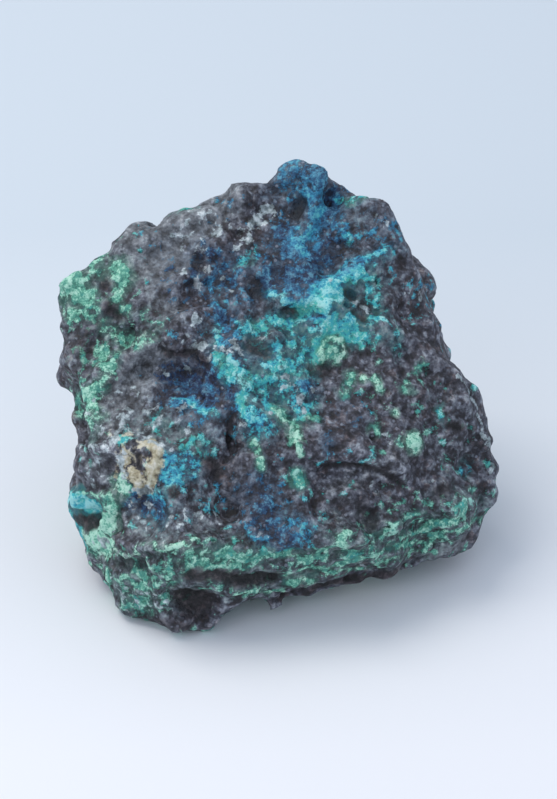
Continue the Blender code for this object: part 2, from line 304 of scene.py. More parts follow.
# Relief of the show face: (name, path in mm across and up, reach, height; minus is a hollow).
RELIEF = [
    ("lower left edge", [(-18.8, -17.4), (-17.8, -20.0)], 1.7, -0.7),
    ("maroon hollow", [(-6.8, -6.4), (-6.4, -7.2)], 1.0, -0.33),
    ("navy hollow", [(-10.6, 2.0), (-8.4, 1.4), (-6.2, 0.6)], 1.7, -0.28),
    ("maroon pit", [(-2.9, 5.6), (-1.6, 4.8)], 1.4, -0.39),
    ("upper brown pit", [(-2.6, 11.9), (-1.8, 11.2)], 1.1, -0.28),
    ("pit under the shelf", [(0.5, 9.1), (1.5, 9.1)], 0.6, -0.2),
    ("mauve pit", [(7.0, 11.0), (7.5, 10.5)], 0.8, -0.4),
    ("maroon pit by it", [(8.0, 8.9), (8.6, 8.3)], 0.7, -0.35),
    ("pit by the ring", [(3.4, 3.0), (4.8, 3.2)], 0.9, -0.33),
    ("peak pit", [(2.2, 19.9), (2.0, 19.2)], 1.0, -0.33),
    ("left dark pit", [(-17.7, 11.7)], 0.8, -0.33),
    ("left slot", [(-17.2, 9.2), (-16.6, 8.8)], 0.7, -0.33),
    ("green pit", [(-8.3, 14.4), (-8.0, 13.4)], 0.9, -0.28),
    ("rimmed pit", [(-8.8, 11.8)], 0.9, -0.28),
    ("long dark gap", [(-11.0, 4.7), (-8.6, 4.6), (-7.6, 4.0)], 0.7, -0.28),
    ("ochre pit", [(-14.25, -5.7), (-14.2, -6.8)], 0.5, -0.4),
    ("ochre bar", [(-12.9, -4.6), (-12.5, -6.0), (-13.2, -8.6)], 0.6, 0.25),
    ("tan lump", [(-15.7, -5.4), (-15.7, -7.0)], 0.6, 0.2),
    ("blue pit", [(-10.7, -9.5)], 0.8, -0.33),
    ("left crest", [(-20.4, -5.0), (-18.4, -4.9), (-16.6, -5.1)], 0.8, 0.28),
    ("slab edge", [(-20.6, -9.7), (-18.8, -9.6), (-16.9, -9.7)], 0.6, 0.42),
    ("pale slab", [(-17.2, -11.4), (-17.6, -13.4), (-18.2, -14.8)], 1.2, 0.35),
    ("slab rim", [(-16.7, -10.2), (-16.6, -12.4), (-17.0, -15.1), (-15.7, -16.0)], 0.5, 0.35),
    ("rim", [(-15.7, -16.0), (-14.8, -15.6), (-13.8, -15.3), (-11.6, -15.1), (-9.6, -15.0), (-8.4, -14.3)],
     0.4, 0.18),
    ("under the rim", [(-16.4, -16.8), (-14.2, -16.8), (-12.4, -16.0)], 0.8, -0.39),
    ("dark band", [(-9.0, -17.8), (-6.4, -18.0), (-3.6, -18.5), (-0.8, -18.1)], 0.9, -0.39),
    ("mint ledge", [(-5.0, -19.8), (-3.2, -19.7), (-1.0, -19.2)], 0.5, 0.28),
    ("green ledge", [(-17.8, -18.3), (-15.4, -18.0), (-12.8, -19.0), (-10.4, -19.0)], 0.6, 0.32),
    ("upper green ledge", [(-8.6, -16.2), (-5.6, -16.0), (-2.4, -16.7), (0.8, -15.8)], 0.6, 0.32),
    ("foot pit", [(-9.4, -20.6), (-8.2, -21.4)], 1.9, -0.44),
    ("fissure", [(-5.9, -0.4), (-5.8, -2.6), (-5.8, -5.0)], 1.1, 0.35),
    ("crescent", [(5.4, -6.8), (8.0, -6.7), (10.6, -7.4), (12.8, -8.7)], 0.5, -0.35),
    ("above the crescent", [(5.6, -5.8), (8.4, -5.6), (11.2, -6.4), (13.4, -7.6)], 0.9, 0.28),
    ("dark dish", [(8.6, -10.8), (9.2, -12.0)], 1.3, -0.28),
    ("right gap", [(17.6, -2.6), (18.8, -2.9)], 0.6, -0.28),
    ("right ledge", [(17.4, -5.0), (19.2, -5.6)], 0.6, -0.22),
    ("pink-spotted pit", [(16.6, -9.4), (17.4, -8.8)], 0.9, -0.28),
    ("mint bead", [(13.9, -4.4)], 0.9, 0.4),
    ("ring", [(4.5, 3.9), (4.3, 5.0), (4.7, 6.0), (5.5, 6.5), (6.3, 6.1)], 0.45, 0.3),
    ("ring's middle", [(5.5, 4.8)], 0.9, 0.15),
    ("mint arrow", [(0.8, -2.4), (1.5, -3.6), (2.3, -5.5)], 0.55, 0.3),
    ("right band ledge", [(5.4, -14.6), (8.4, -14.6), (12.4, -14.0), (16.6, -13.0), (19.2, -12.6)],
     0.6, 0.32),
    ("right band groove", [(6.0, -15.6), (9.6, -15.5), (13.0, -14.9), (16.6, -14.2)], 0.6, -0.22),
    ("bottom rim", [(0.4, -19.8), (4.0, -19.0), (8.0, -18.2), (12.0, -17.2), (16.0, -15.6)], 0.6, -0.22),
    ("top left edge", [(-13.6, 16.4), (-9.6, 18.4), (-5.6, 20.2)], 1.8, 0.25),
    ("right shoulder", [(8.4, 20.0), (10.4, 19.8)], 1.4, 0.5),
    ("peak's left corner", [(0.9, 23.2)], 1.6, 0.45),
    ("peak's right corner", [(3.4, 23.4), (4.3, 23.0)], 1.7, 0.35),
    ("shelf", [(-0.8, 10.7), (1.4, 10.3), (3.6, 10.4)], 0.9, 0.25),
    ("turquoise knob", [(5.1, 11.3)], 1.3, 0.35),
    ("azure ledge", [(6.6, 12.8), (8.6, 13.6), (10.8, 15.0)], 0.8, 0.04),
]

# Copper minerals: (path in mm across and up, reach, how thick, hue from 0 navy to 1 mint).
# Above 1, how thick also lightens the crust, as painted highlight.
CRUSTS = [
    # wide, thin hazes under the rest
    ([(3.0, 22.0), (4.2, 17.4), (2.0, 13.4)], 2.8, 0.55, 0.3),
    ([(-5.4, 7.0), (0.0, 6.4), (5.6, 8.6), (8.6, 12.0)], 2.0, 0.46, 0.58),
    ([(-5.0, 2.6), (-1.0, 1.4), (-2.2, -3.4)], 1.8, 0.26, 0.5),
    ([(2.2, 7.4), (2.8, 5.0), (1.8, 2.6)], 1.5, 0.74, 0.6),
    ([(0.2, 1.4), (1.6, 0.6), (2.2, -1.0)], 1.3, 0.66, 0.54),
    ([(-5.0, 6.0), (-3.6, 4.6)], 1.2, 0.62, 0.45),
    ([(-6.4, 11.8), (-5.6, 10.2)], 1.6, 0.58, 0.42),
    ([(-10.0, 12.6), (-7.0, 9.4), (-6.0, 12.4)], 2.2, 0.3, 0.2),
    ([(-10.0, 1.6), (-6.6, 0.6), (-8.8, -1.4)], 2.2, 0.38, 0.3),
    ([(-20.4, 8.4), (-19.2, 4.4), (-20.4, 0.8)], 2.2, 0.24, 0.8),
    ([(-13.0, 8.4), (-16.6, 6.4)], 1.6, 0.16, 0.84),
    ([(-17.0, -18.0), (-10.4, -17.4), (-4.0, -17.0), (4.0, -16.4), (10.0, -15.2), (18.4, -12.4)],
     2.3, 0.42, 0.8),
    ([(-15.0, -20.6), (-11.0, -19.4), (-3.0, -18.9), (3.0, -18.2)], 1.6, 0.4, 0.8),
    ([(-12.6, -9.6), (-9.6, -8.6), (-12.2, -12.4)], 2.0, 0.3, 0.52),
    ([(-1.6, -9.6), (0.2, -12.4)], 2.0, 0.32, 0.3),
    ([(16.4, -1.4), (18.2, -6.2)], 2.8, 0.15, 0.7),
    ([(8.6, 4.6), (11.6, 1.2)], 3.0, 0.08, 0.8),
    ([(7.0, 18.4), (10.2, 17.6)], 2.8, 0.38, 0.4),
    ([(-12.0, -2.6), (-8.8, -4.2)], 1.9, 0.32, 0.68),
    # peak and valley
    ([(1.6, 23.6), (3.2, 23.4), (4.4, 22.4)], 1.8, 0.8, 0.31),
    ([(1.2, 24.2), (2.4, 24.3)], 0.6, 0.9, 0.38),
    ([(2.7, 21.0), (3.9, 20.7)], 0.95, 1.2, 0.42),
    ([(4.6, 19.8), (4.2, 18.7)], 1.0, 1.6, 0.48),
    ([(3.6, 17.6), (3.0, 16.8)], 0.85, 1.35, 0.45),
    ([(1.4, 16.0), (2.0, 15.1)], 1.0, 1.5, 0.47),
    ([(3.9, 15.7)], 0.5, 1.1, 0.5),
    ([(5.0, 20.6), (5.0, 18.4), (4.6, 15.4), (3.0, 13.8)], 1.5, 0.8, 0.15),
    ([(0.6, 16.8), (1.4, 14.2)], 1.3, 0.8, 0.2),
    ([(-0.8, 12.2), (0.6, 12.4), (2.6, 12.4), (4.0, 13.0)], 1.3, 0.95, 0.2),
    ([(0.6, 11.2), (2.4, 10.9)], 0.8, 0.95, 0.3),
    ([(-1.4, 11.3), (-0.6, 10.6), (0.2, 10.3)], 0.4, 1.3, 0.55),
    ([(0.6, 10.3), (1.8, 10.2), (2.8, 10.1), (3.8, 10.4)], 0.42, 1.3, 0.6),
    ([(4.4, 10.6), (4.9, 11.6), (5.6, 11.9), (5.7, 10.8)], 1.05, 1.75, 0.61),
    ([(6.2, 12.7), (7.4, 13.2), (8.4, 13.8)], 0.8, 0.78, 0.35),
    ([(9.2, 14.2), (10.2, 14.9), (11.1, 15.3)], 0.6, 0.85, 0.5),
    ([(7.0, 12.2), (8.6, 12.8), (9.5, 12.6)], 0.6, 0.8, 0.68),
    ([(6.4, 16.8), (7.2, 17.0), (7.2, 16.2)], 0.55, 0.75, 0.6),
    ([(5.8, 20.4), (6.6, 20.1), (8.4, 20.4), (9.4, 20.8)], 0.5, 0.75, 0.78),
    ([(10.4, 17.0), (10.8, 18.8)], 1.4, 0.3, 0.12),
    # middle of the face
    ([(2.3, 9.5), (3.1, 9.2), (4.0, 9.6)], 0.75, 1.2, 0.72),
    ([(4.2, 8.4), (3.6, 7.8)], 0.79, 0.86, 0.26),
    ([(-0.2, 8.2), (0.8, 7.8), (1.5, 6.9)], 0.79, 0.86, 0.6),
    ([(0.4, 6.0), (1.4, 5.8)], 0.67, 0.73, 0.52),
    ([(5.0, 7.9), (6.2, 8.1), (7.3, 7.7), (8.4, 6.8)], 0.88, 1.12, 0.6),
    ([(5.4, 7.4), (6.8, 6.8)], 0.95, 1.1, 0.62),
    ([(4.6, 6.9), (3.9, 6.0), (3.6, 4.6)], 0.73, 1.07, 0.68),
    ([(9.2, 6.1), (10.0, 6.2)], 0.61, 0.6, 0.6),
    ([(9.2, 11.4), (9.9, 10.4), (10.2, 9.4), (9.9, 8.2)], 0.6, 0.66, 0.6),
    ([(11.5, 6.6), (12.0, 5.8)], 0.73, 0.56, 0.58),
    ([(-2.8, 7.8), (-1.6, 7.4)], 0.61, 0.82, 0.66),
    ([(-4.0, 7.5), (-3.0, 7.2)], 0.73, 0.73, 0.58),
    ([(2.0, 4.9), (3.0, 4.7)], 0.61, 0.77, 0.64),
    ([(1.2, 3.4), (2.2, 4.0)], 0.85, 0.6, 0.5),
    ([(-5.4, 8.2), (-5.0, 6.6), (-4.8, 5.8)], 1.1, 0.73, 0.1),
    ([(-6.1, 6.8), (-5.6, 5.6)], 0.73, 0.82, 0.54),
    ([(-6.2, 4.7), (-5.6, 3.5), (-4.6, 2.4), (-3.4, 1.8)], 0.8, 0.95, 0.66),
    ([(-2.6, 2.0), (-1.6, 2.3), (-0.6, 2.6)], 0.67, 0.9, 0.64),
    ([(-1.0, 3.6), (-0.4, 4.2), (-0.4, 5.2)], 0.79, 0.95, 0.52),
    ([(-0.2, 3.4), (0.5, 3.4), (0.9, 2.8)], 0.79, 1.07, 0.68),
    ([(-2.2, 1.3), (-0.8, 1.0)], 0.7, 0.68, 0.6),
    ([(2.4, 1.8), (3.2, 1.2)], 0.8, 0.6, 0.25),
    ([(-7.4, 13.9), (-5.8, 12.8), (-4.8, 11.2)], 1.83, 0.6, 0.2),
    ([(-4.4, 13.4), (-3.2, 14.2), (-2.6, 14.8)], 0.67, 0.56, 0.6),
    ([(-10.8, 2.6), (-9.0, 2.0), (-7.6, 2.8), (-6.2, 1.4), (-8.0, 0.6), (-10.6, 1.0)], 1.34, 0.69, 0.06),
    ([(-7.2, 1.4), (-6.6, 1.0)], 0.61, 0.73, 0.62),
    ([(-10.4, 0.2), (-9.2, 0.0)], 0.45, 0.65, 0.62),
    ([(-8.8, -0.7), (-7.6, -1.0), (-6.4, -1.0)], 0.67, 0.82, 0.64),
    ([(-6.6, 0.2), (-5.4, 0.0)], 0.98, 0.69, 0.08),
    ([(-12.6, -2.2), (-11.8, -2.8)], 0.85, 0.52, 0.62),
    ([(-7.8, -4.3), (-7.7, -5.0)], 0.6, 0.6, 0.56),
    ([(-11.4, -6.3), (-10.2, -6.2), (-9.2, -6.9)], 0.8, 0.76, 0.44),
    ([(-11.4, -7.6), (-10.2, -7.7), (-9.2, -7.5)], 0.73, 0.84, 0.48),
    ([(-14.6, -10.3), (-13.2, -10.8), (-12.0, -11.6)], 0.8, 0.8, 0.12),
    ([(-13.4, -10.0), (-12.4, -10.2), (-11.6, -9.6)], 0.5, 0.75, 0.5),
    ([(-3.6, 0.2), (-3.2, -1.0)], 0.75, 0.85, 0.62),
    ([(-2.2, -1.8), (-1.9, -3.2)], 0.98, 0.7, 0.5),
    ([(-1.0, -0.4), (0.2, 0.2)], 0.73, 0.82, 0.58),
    ([(-2.3, -9.4), (-1.6, -10.6), (-1.0, -12.2), (-0.2, -13.4), (1.0, -14.3)], 1.46, 0.73, 0.18),
    ([(0.7, -11.6), (1.8, -12.7), (2.8, -13.8)], 0.8, 0.66, 0.42),
    ([(-2.4, -13.9), (-1.2, -14.2)], 0.73, 0.73, 0.38),
    ([(4.9, -4.4), (5.0, -5.0)], 0.5, 0.55, 0.3),
    ([(7.4, -1.2), (6.4, -2.2)], 1.46, 0.21, 0.12),
    ([(16.4, -0.7), (16.6, -1.7)], 0.5, 0.6, 0.6),
    ([(19.3, -6.6), (19.0, -7.4)], 0.6, 0.4, 0.47),
    # left shoulder
    ([(-22.2, 10.8), (-21.2, 11.8), (-20.4, 11.6)], 1.01, 1.14, 0.9),
    ([(-20.4, 10.6), (-19.6, 10.3)], 0.95, 1.23, 0.84),
    ([(-21.6, 12.4), (-20.8, 12.9)], 0.78, 0.85, 0.85),
    ([(-18.7, 13.8), (-18.2, 12.8)], 0.67, 0.9, 0.84),
    ([(-17.7, 14.8), (-18.3, 14.6)], 0.56, 0.76, 0.8),
    ([(-16.4, 13.6), (-15.8, 12.8), (-15.9, 11.8), (-16.6, 10.8)], 0.69, 1.14, 0.88),
    ([(-21.8, 9.2), (-21.2, 8.8)], 0.56, 0.76, 0.9),
    ([(-19.2, 9.6), (-18.8, 8.8)], 0.56, 0.66, 0.8),
    ([(-16.0, 9.5), (-15.6, 9.0)], 0.62, 0.85, 0.82),
    ([(-13.6, 9.0), (-13.1, 7.8), (-12.4, 7.4)], 0.5, 0.5, 0.78),
    ([(-13.2, 6.6), (-14.4, 5.8)], 0.62, 0.66, 0.86),
    ([(-17.8, 7.2), (-16.4, 6.6), (-15.3, 6.0)], 0.67, 0.71, 0.84),
    ([(-17.8, 5.0), (-17.2, 4.2), (-16.5, 4.6)], 0.6, 0.75, 0.82),
    ([(-17.0, 3.6), (-17.8, 2.1), (-18.6, 1.2)], 0.5, 0.82, 0.88),
    ([(-18.8, 1.0), (-19.6, 0.6)], 0.84, 0.95, 0.84),
    ([(-20.2, 0.6), (-20.3, -1.2)], 0.56, 0.66, 0.82),
    ([(-19.4, -0.9), (-19.0, -1.6)], 0.73, 0.9, 0.93),
    ([(-18.8, -3.2), (-19.2, -3.8)], 0.56, 0.57, 0.8),
    ([(-10.6, 20.2), (-8.8, 19.8)], 0.9, 0.43, 0.76),
    # green specks of the dark lower lobe
    ([(-0.6, -0.9), (0.1, -1.5), (0.7, -2.2)], 0.5, 1.1, 0.86),
    ([(2.6, -1.7), (3.6, -2.1)], 0.5, 0.7, 0.84),
    ([(7.2, 2.2), (7.2, 1.4), (6.9, 0.8)], 0.55, 0.75, 0.8),
    ([(10.1, 2.0)], 0.32, 1.2, 0.97),
    ([(10.2, 1.1)], 0.36, 1.2, 0.95),
    ([(13.3, 1.4), (13.4, 0.9)], 0.4, 0.95, 0.86),
    ([(14.4, 3.4), (14.2, 2.8)], 0.4, 0.75, 0.8),
    ([(10.0, -2.5), (9.7, -3.1)], 0.4, 0.85, 0.84),
    ([(12.2, -4.0), (12.6, -4.6)], 0.4, 0.7, 0.8),
    # corner pocket and pale slab
    # the thickness 3.2 lightens the shaded corner pocket, as painted light
    ([(-21.6, -10.5), (-20.2, -10.6), (-19.0, -10.8)], 0.9, 3.2, 0.6),
    ([(-18.2, -10.4), (-17.2, -10.6)], 0.56, 0.9, 0.78),
    ([(-21.2, -12.2), (-20.8, -13.2), (-19.6, -14.2)], 0.75, 1.1, 0.58),
    ([(-17.0, -10.8), (-17.1, -12.4), (-17.6, -13.6)], 0.65, 1.8, 0.95),
    ([(-18.6, -14.2), (-17.6, -14.5)], 0.8, 3.2, 1.0),
    ([(-18.6, -15.4), (-17.2, -15.4)], 0.67, 0.9, 0.84),
    ([(-15.9, -8.3), (-15.7, -9.0)], 0.7, 1.5, 0.99),
    # foot band
    ([(-11.9, -15.65), (-10.5, -15.7)], 0.15, 1.0, 0.85),
    ([(-5.8, -15.8), (-4.4, -16.1), (-2.6, -16.3)], 0.7, 1.15, 0.81),
    ([(-8.8, -15.9), (-7.4, -16.0)], 0.55, 0.9, 0.89),
    ([(-13.2, -17.1), (-11.2, -17.4), (-10.2, -16.6)], 0.6, 0.6, 0.86),
    ([(-15.6, -20.7), (-13.8, -20.9)], 0.9, 0.85, 0.8),
    ([(-16.4, -19.4), (-14.0, -20.0), (-12.8, -20.0)], 0.5, 0.55, 0.82),
    ([(5.6, -14.6), (6.4, -14.3)], 0.4, 0.68, 0.8),
    ([(7.2, -16.1), (8.0, -16.3)], 0.7, 0.8, 0.76),
    ([(3.0, -15.6), (3.8, -16.2)], 0.55, 0.8, 0.86),
    ([(9.0, -14.2), (10.8, -13.8)], 0.6, 0.65, 0.76),
    ([(1.2, -18.8), (2.2, -18.9), (3.4, -18.6)], 0.5, 1.15, 0.93),
    ([(17.2, -10.9), (18.8, -10.2), (20.4, -10.8)], 1.0, 0.4, 0.74),
    ([(12.8, -12.0), (14.6, -11.3)], 0.3, 0.55, 0.78),
]

# Smooth round beads of malachite and chrysocolla, as the crusts are given.
BEADS = [
    ([(5.5, 4.9)], 0.62, 1.2, 0.84),
    ([(4.5, 3.9), (4.2, 5.0), (4.7, 6.0), (5.6, 6.4), (6.5, 5.9), (6.7, 4.8), (6.0, 3.8)], 0.17, 1.5, 1.0),
    ([(0.4, -2.0), (1.4, -2.5), (2.0, -2.7)], 0.2, 1.3, 0.9),
    ([(1.4, -3.0), (1.8, -3.9)], 0.34, 1.4, 0.95),
    ([(2.0, -4.4), (2.3, -5.6)], 0.16, 1.4, 0.95),
    ([(-2.6, -4.4)], 0.3, 1.4, 0.93),
    ([(-2.2, -5.3)], 0.24, 1.3, 0.93),
    ([(-1.9, -6.2), (-1.7, -6.9)], 0.26, 1.3, 0.93),
    ([(13.9, -4.4)], 0.54, 1.7, 0.93),
    ([(1.9, -7.8), (2.1, -8.5)], 0.42, 1.5, 0.78),
    ([(12.0, -1.3)], 0.26, 1.3, 0.94),
    ([(8.7, 2.1)], 0.26, 1.3, 0.97),
]

# Bare places among the crusts, as the pales are given.
BARES = [
    ([(-14.4, 9.2), (-13.6, 10.2)], 0.9, 0.35),
    ([(7.2, 11.3), (7.4, 10.6)], 0.6, 0.9),
    ([(8.0, 9.0), (8.6, 8.4), (8.2, 7.9)], 0.55, 0.8),
    ([(6.0, 9.6), (6.6, 9.0)], 0.5, 0.5),
    ([(8.4, 12.0), (8.4, 11.2)], 0.35, 0.6),
    ([(1.4, 9.0), (0.4, 9.2)], 0.4, 0.8),
    ([(2.6, 8.6), (2.9, 7.8)], 0.35, 0.6),
    ([(2.4, 6.8), (2.6, 5.9)], 0.4, 0.32),
    ([(6.8, 5.6), (6.9, 4.4), (5.8, 3.3), (4.6, 3.2)], 0.3, 0.9),
    ([(2.4, 19.9), (2.4, 19.2)], 0.55, 0.9),
    ([(6.4, 15.4), (8.0, 15.4)], 0.6, 0.5),
    ([(-19.1, 12.0), (-19.3, 11.6)], 0.35, 0.8),
    ([(-17.6, 12.0), (-17.7, 11.2)], 0.45, 1.0),
    ([(-18.2, 9.4), (-17.0, 8.8), (-17.8, 8.3)], 0.5, 1.0),
    ([(-14.8, 14.0), (-14.7, 11.4)], 0.6, 0.7),
    ([(-3.0, 5.8), (-1.6, 4.8)], 0.9, 0.9),
    ([(-4.3, 4.8), (-3.3, 3.6)], 0.4, 0.6),
    ([(-5.2, -1.6), (-5.2, -4.4)], 0.5, 1.0),
    ([(1.0, -1.2), (1.6, -1.5)], 0.35, 0.5),
    ([(0.2, -2.9), (1.0, -4.4), (1.7, -5.8)], 0.45, 1.1),
    ([(-20.5, -12.3), (-19.5, -12.8), (-18.6, -12.3)], 0.6, 1.6),
    ([(-17.0, -16.9), (-15.0, -16.9)], 0.5, 0.5),
    ([(-8.6, -17.9), (-5.0, -18.0), (-1.6, -18.1)], 0.5, 0.9),
    ([(-9.4, -19.2), (-8.4, -21.6)], 1.0, 1.2),
]

# Thin strands and rims of malachite: (path, reach, hue).
STRAND_STRENGTH = 1.2
STRANDS = [
    ([(-21.3, -9.75), (-19.0, -9.55), (-16.5, -9.4)], 0.18, 0.93),
    ([(-16.9, -9.6), (-16.5, -11.4), (-16.6, -13.2), (-17.0, -14.8), (-16.4, -15.7), (-15.4, -16.0)],
     0.26, 0.98),
    ([(-15.4, -16.0), (-14.6, -15.3), (-12.8, -15.0), (-10.8, -15.1), (-9.2, -15.0), (-8.2, -14.3)],
     0.2, 0.97),
    ([(-18.2, -18.2), (-16.6, -18.3), (-15.2, -18.0)], 0.26, 0.93),
    ([(-15.4, -18.3), (-13.8, -19.3), (-11.6, -19.3), (-10.2, -18.4), (-9.4, -17.0), (-9.2, -15.8)],
     0.26, 0.88),
    ([(-14.4, -17.6), (-12.8, -18.4), (-11.2, -18.2)], 0.26, 0.84),
    ([(-8.4, -17.2), (-5.8, -17.0), (-3.0, -17.3)], 0.26, 0.84),
    ([(-5.2, -20.0), (-3.4, -19.8), (-1.8, -19.4), (0.2, -19.2)], 0.26, 0.93),
    ([(-0.8, -15.6), (1.6, -15.9), (3.4, -16.6)], 0.26, 0.87),
    ([(2.8, -16.8), (4.2, -15.6), (5.6, -14.8), (7.4, -14.0)], 0.26, 0.9),
    ([(4.6, -17.2), (6.8, -16.8), (9.4, -16.0), (11.8, -15.2), (13.6, -14.8)], 0.26, 0.84),
    ([(8.4, -14.6), (11.0, -13.5), (13.0, -12.4), (14.8, -11.4)], 0.26, 0.8),
    ([(11.4, -14.3), (14.2, -13.5), (16.8, -12.6), (19.0, -11.2)], 0.26, 0.84),
    ([(14.4, -15.2), (16.8, -14.0), (19.2, -12.9), (20.6, -12.4)], 0.26, 0.86),
    ([(9.8, -16.9), (12.6, -16.0), (15.4, -14.9)], 0.26, 0.9),
    ([(0.8, -17.9), (3.2, -17.3), (6.2, -17.6), (9.2, -17.3)], 0.26, 0.88),
    ([(18.2, -11.4), (19.2, -10.0), (20.0, -9.0)], 0.26, 0.76),
]

# Pale lumps and rims of silica: (path, reach, how pale). The strokes along the right edge are a painted
# highlight on that edge.
PALES = [
    ([(13.2, 11.6), (14.4, 10.8)], 0.7, 0.42),
    ([(1.0, 1.0), (2.0, 1.4), (2.0, 0.2)], 0.6, 0.6),
    ([(1.6, -0.6), (2.6, -1.2)], 0.5, 0.6),
    ([(-4.4, 5.4), (-3.8, 4.6)], 0.6, 0.75),
    ([(-10.8, -0.6), (-9.4, -1.4)], 0.8, 0.5),
    ([(-14.6, -9.3), (-13.4, -9.0)], 0.6, 0.95),
    ([(-13.7, -10.9), (-12.8, -11.0)], 0.4, 0.75),
    ([(-9.0, 16.0), (-6.4, 18.0)], 2.4, 0.34),
    ([(-16.0, -19.6), (-14.0, -21.2), (-12.2, -20.8)], 1.4, 0.4),
    ([(-18.4, -14.1), (-17.4, -14.6)], 0.6, 0.75),
    ([(-16.0, -5.4), (-16.2, -6.8), (-15.6, -7.6)], 0.6, 0.6),
    ([(-18.0, -2.2), (-15.4, -1.4), (-13.0, -3.4)], 2.4, 0.36),
    ([(-18.8, -6.2), (-18.4, -8.0)], 1.6, 0.18),
    ([(-15.0, -12.4), (-12.0, -13.4), (-7.4, -12.2)], 1.6, 0.24),
    ([(-1.0, 19.2), (-2.0, 18.2), (-3.3, 17.1)], 0.9, 0.74),
    ([(-3.6, 16.6), (-4.2, 16.0)], 0.7, 0.7),
    ([(-6.4, 16.9)], 0.8, 0.55),
    ([(-7.8, 18.5)], 0.7, 0.5),
    ([(-7.4, 14.0), (-7.2, 13.4)], 0.45, 0.7),
    ([(-5.7, 12.4)], 0.35, 0.9),
    ([(-4.9, 11.0)], 0.4, 0.9),
    ([(-9.9, 13.1), (-9.6, 12.7)], 0.45, 0.65),
    ([(-8.6, 12.4), (-8.1, 11.5)], 0.4, 0.6),
    ([(-9.4, 6.2), (-9.0, 5.7)], 0.6, 0.8),
    ([(-7.6, 5.4)], 0.45, 0.95),
    ([(-7.0, 4.3)], 0.5, 0.75),
    ([(-8.4, 8.2), (-8.6, 7.6)], 0.5, 0.6),
    ([(-4.7, 5.9)], 0.42, 1.0),
    ([(-6.2, 5.2), (-5.4, 4.9)], 0.4, 0.9),
    ([(-9.2, 3.0), (-10.2, 3.2)], 0.4, 0.85),
    ([(-11.9, 3.0), (-11.6, 2.6)], 0.4, 0.6),
    ([(0.6, 2.4), (1.2, 2.0)], 0.45, 0.7),
    ([(3.4, 1.0)], 0.4, 1.0),
    ([(2.3, 0.3), (1.9, -0.6)], 0.36, 0.95),
    ([(-1.8, 6.3)], 0.4, 0.6),
    ([(7.6, 10.1), (8.4, 9.6), (9.0, 9.0)], 0.3, 0.95),
    ([(5.0, 11.7), (5.2, 12.1)], 0.4, 0.5),
    ([(-15.2, -0.8), (-15.8, -2.4), (-16.6, -3.6), (-16.8, -4.8)], 0.5, 0.75),
    ([(-20.0, -5.0), (-18.6, -4.9), (-17.0, -5.0)], 0.42, 0.75),
    ([(-18.0, -3.2), (-18.4, -3.8)], 0.4, 0.7),
    ([(-12.6, -4.2), (-11.4, -3.9), (-10.4, -3.4)], 0.36, 0.7),
    ([(-9.3, -3.1)], 0.4, 0.85),
    ([(-14.0, 0.8), (-14.8, 1.0)], 0.5, 0.55),
    ([(-12.4, -0.8), (-13.4, -1.6)], 0.4, 0.6),
    ([(-10.0, -2.0), (-10.6, -2.6)], 0.35, 0.6),
    ([(-15.3, -9.4), (-14.0, -9.5), (-12.9, -9.3)], 0.28, 0.95),
    ([(-18.2, -6.2), (-18.4, -7.4)], 0.35, 0.6),
    ([(-16.6, -6.4), (-16.5, -7.6)], 0.35, 0.6),
    ([(-13.8, -12.0), (-13.4, -13.2)], 0.5, 0.6),
    ([(-8.2, -11.8), (-6.4, -12.4)], 0.4, 0.6),
    ([(-15.6, -12.0), (-15.2, -13.4)], 0.4, 0.5),
    ([(-3.6, -2.6)], 0.35, 0.7),
    ([(-0.9, -1.4)], 0.3, 0.7),
    ([(-1.9, -13.7), (-1.3, -13.8)], 0.4, 0.6),
    # painted highlight along the right edge of the stone
    ([(18.3, 2.4), (19.6, 0.7), (20.2, -0.6), (20.8, -2.4), (21.1, -3.6)], 0.22, 0.9),
    ([(21.0, -3.6), (21.4, -4.4)], 0.45, 1.0),
    ([(22.3, -5.0), (22.6, -6.4), (22.5, -7.8)], 0.28, 0.95),
    ([(9.5, -8.6), (10.2, -9.4)], 0.35, 0.48),
    ([(15.7, -8.4)], 0.3, 0.55),
    ([(17.0, -8.3), (17.4, -8.6)], 0.3, 0.8),
    ([(10.8, -3.6), (11.6, -4.6)], 0.45, 0.5),
    ([(15.2, 1.8), (15.6, 1.2)], 0.4, 0.6),
    ([(12.4, 4.6), (13.0, 5.2)], 0.4, 0.5),
    ([(10.0, 18.6), (11.0, 18.0), (10.6, 17.0)], 0.35, 0.55),
    ([(11.6, 16.4)], 0.35, 0.5),
    ([(5.6, -15.9), (9.6, -17.7)], 0.5, 0.35),
]

# Ochre, as the pales are given.
OCHRES = [
    ([(-15.6, -4.6), (-14.6, -9.0)], 2.2, 0.4),
    ([(-12.9, -4.5), (-12.5, -5.8), (-12.7, -7.2), (-13.3, -8.8)], 0.72, 1.15),
    ([(-15.5, -5.4), (-15.7, -6.4), (-15.3, -7.3)], 0.65, 0.8),
    ([(-14.6, -4.7), (-13.7, -4.5)], 0.5, 0.9),
    ([(-14.6, -7.7), (-14.0, -8.8)], 0.95, 1.2),
    ([(-16.4, -6.8), (-16.6, -7.8)], 0.45, 0.6),
    ([(-16.4, -4.2), (-15.6, -3.4)], 0.6, 0.45),
]
